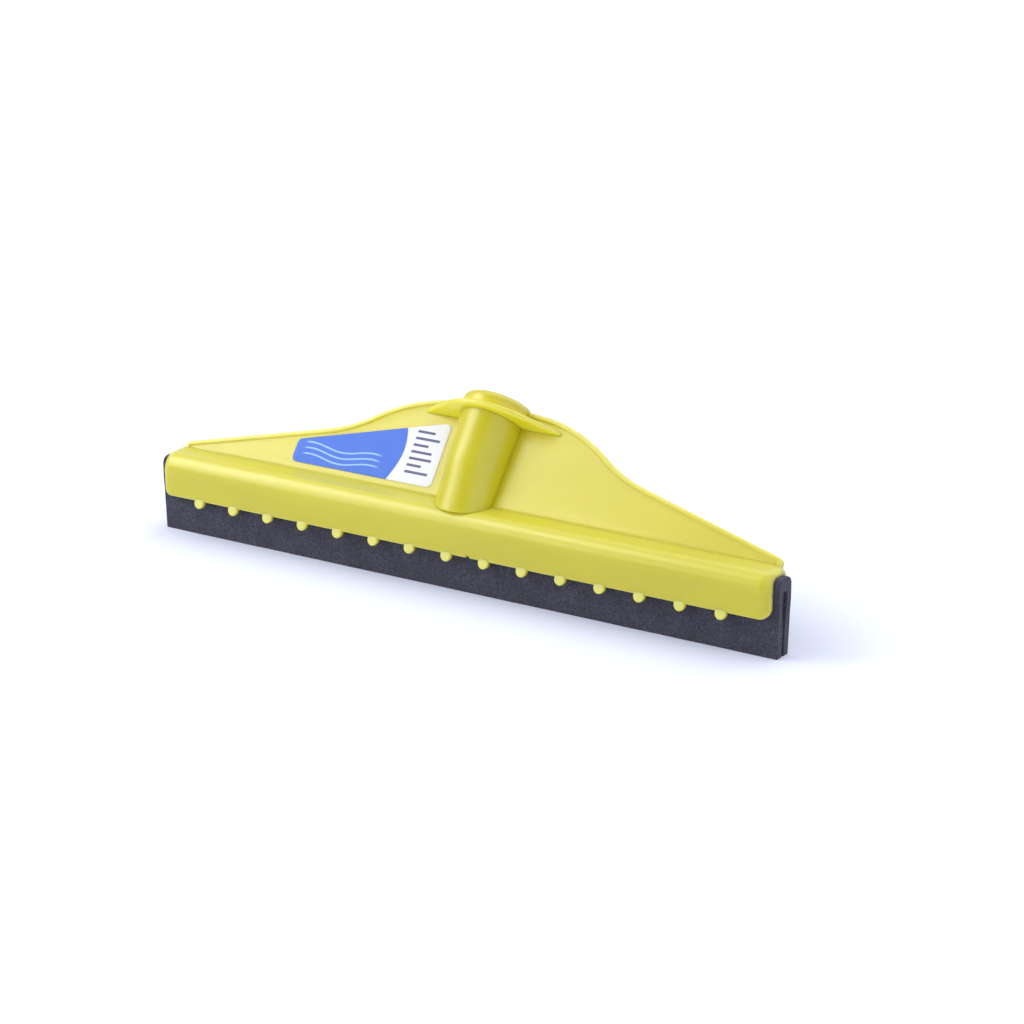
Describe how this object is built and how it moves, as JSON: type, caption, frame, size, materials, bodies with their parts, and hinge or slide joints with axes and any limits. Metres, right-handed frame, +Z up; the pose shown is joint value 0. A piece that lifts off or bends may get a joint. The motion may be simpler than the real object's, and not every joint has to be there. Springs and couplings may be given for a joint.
{
  "type": "floor squeegee head",
  "caption": "Floor squeegee head: a moulded plastic bar with a leaning web and handle socket, and jaws that grip a folded foam blade.",
  "frame": {"origin": "on the floor, under the middle of the whole head's box", "axes": "+X along the blade, +Y to the back, the way the handle socket leans, +Z up"},
  "size_m": [0.3, 0.0504, 0.0786],
  "materials": {
    "head_plastic": "glossy moulded plastic, lime yellow",
    "label_paper": "printed gloss paper sticker, blue and white",
    "blade_foam": "matt black sponge rubber with a fine closed-cell grain"
  },
  "bodies": {
    "head": {"blade_channel": "head_plastic", "front_grip_pegs": "head_plastic", "back_grip_pegs": "head_plastic", "web_panel": "head_plastic", "handle_socket": "head_plastic", "socket_collar": "head_plastic", "mouth_ring": "head_plastic", "label": "label_paper"},
    "blade": {"blade_fold": "blade_foam"},
    "front_edge": {"front_lip": "blade_foam"},
    "back_edge": {"back_lip": "blade_foam"}
  },
  "joints": [
    {"name": "blade_slide", "type": "slide", "parent": "head", "child": "blade", "axis": [1, 0, 0], "range_m": [-0.3, 0.3]},
    {"name": "front_flex", "type": "hinge", "parent": "blade", "child": "front_edge", "pos_m": [0, -0.01788, 0.01125], "axis": [1, 0, 0], "range_deg": [-25, 25], "stiffness_Nm_per_rad": 0.2},
    {"name": "back_flex", "type": "hinge", "parent": "blade", "child": "back_edge", "pos_m": [0, -0.01278, 0.01125], "axis": [1, 0, 0], "range_deg": [-25, 25], "stiffness_Nm_per_rad": 0.2}
  ],
  "couplings": [
    {"joint": "back_flex", "follows": "front_flex", "ratio": 1}
  ]
}
